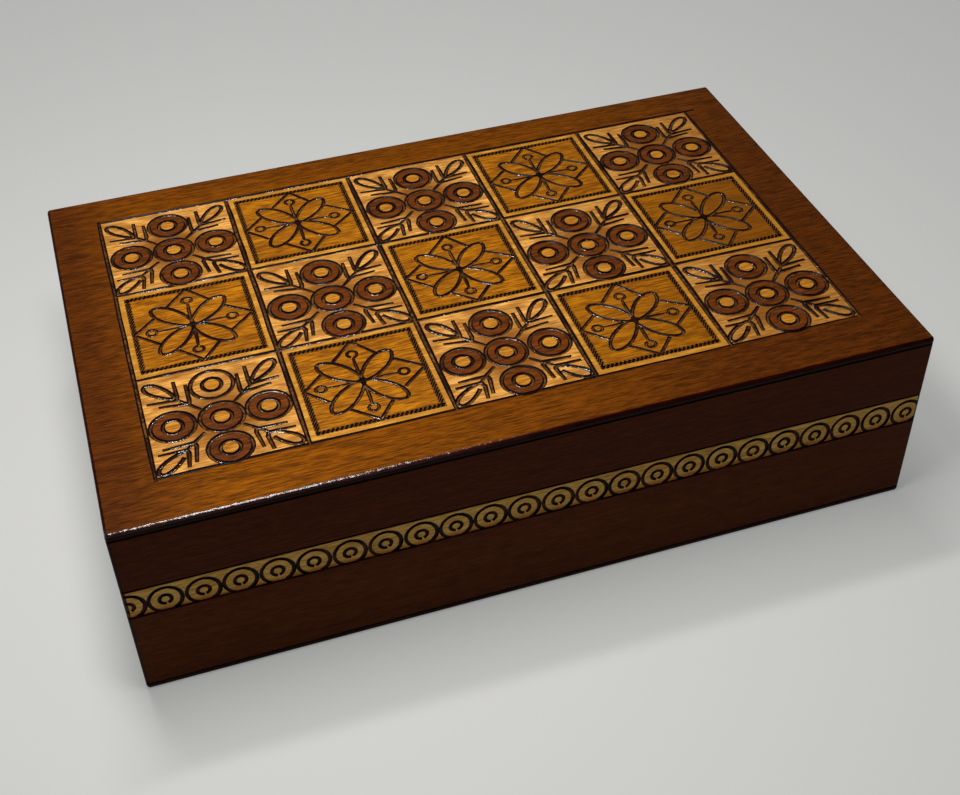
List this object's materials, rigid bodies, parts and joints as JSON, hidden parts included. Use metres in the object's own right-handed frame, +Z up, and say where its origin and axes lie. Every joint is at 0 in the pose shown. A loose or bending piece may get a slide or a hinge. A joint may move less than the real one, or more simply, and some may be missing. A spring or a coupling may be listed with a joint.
{
  "type": "hinged wooden box",
  "caption": "Flat rectangular wooden box with a hinged lid, a carved and stained top and a ring band along the front, for keeping papers and keepsakes.",
  "frame": {"origin": "under the middle of the base, on the surface that the box stands on", "axes": "+X along the width, to the right as seen from the front; +Y from the front to the hinges; +Z up; the front faces -Y"},
  "size_m": [0.27, 0.176, 0.071],
  "materials": {
    "stained_wood": "dark brown stained and lacquered",
    "banded_wall": "dark brown stain with a pale ring band, lacquered",
    "carved_top": "burnt grooves and stained fields under glossy lacquer",
    "base_board": "stained and thinly lacquered",
    "hinge_brass": "polished",
    "hinge_pins": "drawn wire",
    "hinge_screws": "turned"
  },
  "bodies": {
    "box": {"base_panel": "base_board", "front_wall": "banded_wall", "back_wall": "stained_wood", "left_wall": "banded_wall", "right_wall": "banded_wall", "left_hinge_box_leaf": "hinge_brass", "left_hinge_pin": "hinge_pins", "right_hinge_box_leaf": "hinge_brass", "right_hinge_pin": "hinge_pins", "box_hinge_screws": "hinge_screws"},
    "lid": {"top_panel": "carved_top", "lid_front_rail": "stained_wood", "lid_back_rail": "stained_wood", "lid_left_rail": "stained_wood", "lid_right_rail": "stained_wood", "left_hinge_lid_leaf": "hinge_brass", "right_hinge_lid_leaf": "hinge_brass", "lid_hinge_screws": "hinge_screws"}
  },
  "joints": [
    {"name": "lid_hinge", "type": "hinge", "parent": "box", "child": "lid", "pos_m": [0, 0.0855, 0.0464], "axis": [-1, 0, 0], "range_deg": [0, 100]}
  ]
}
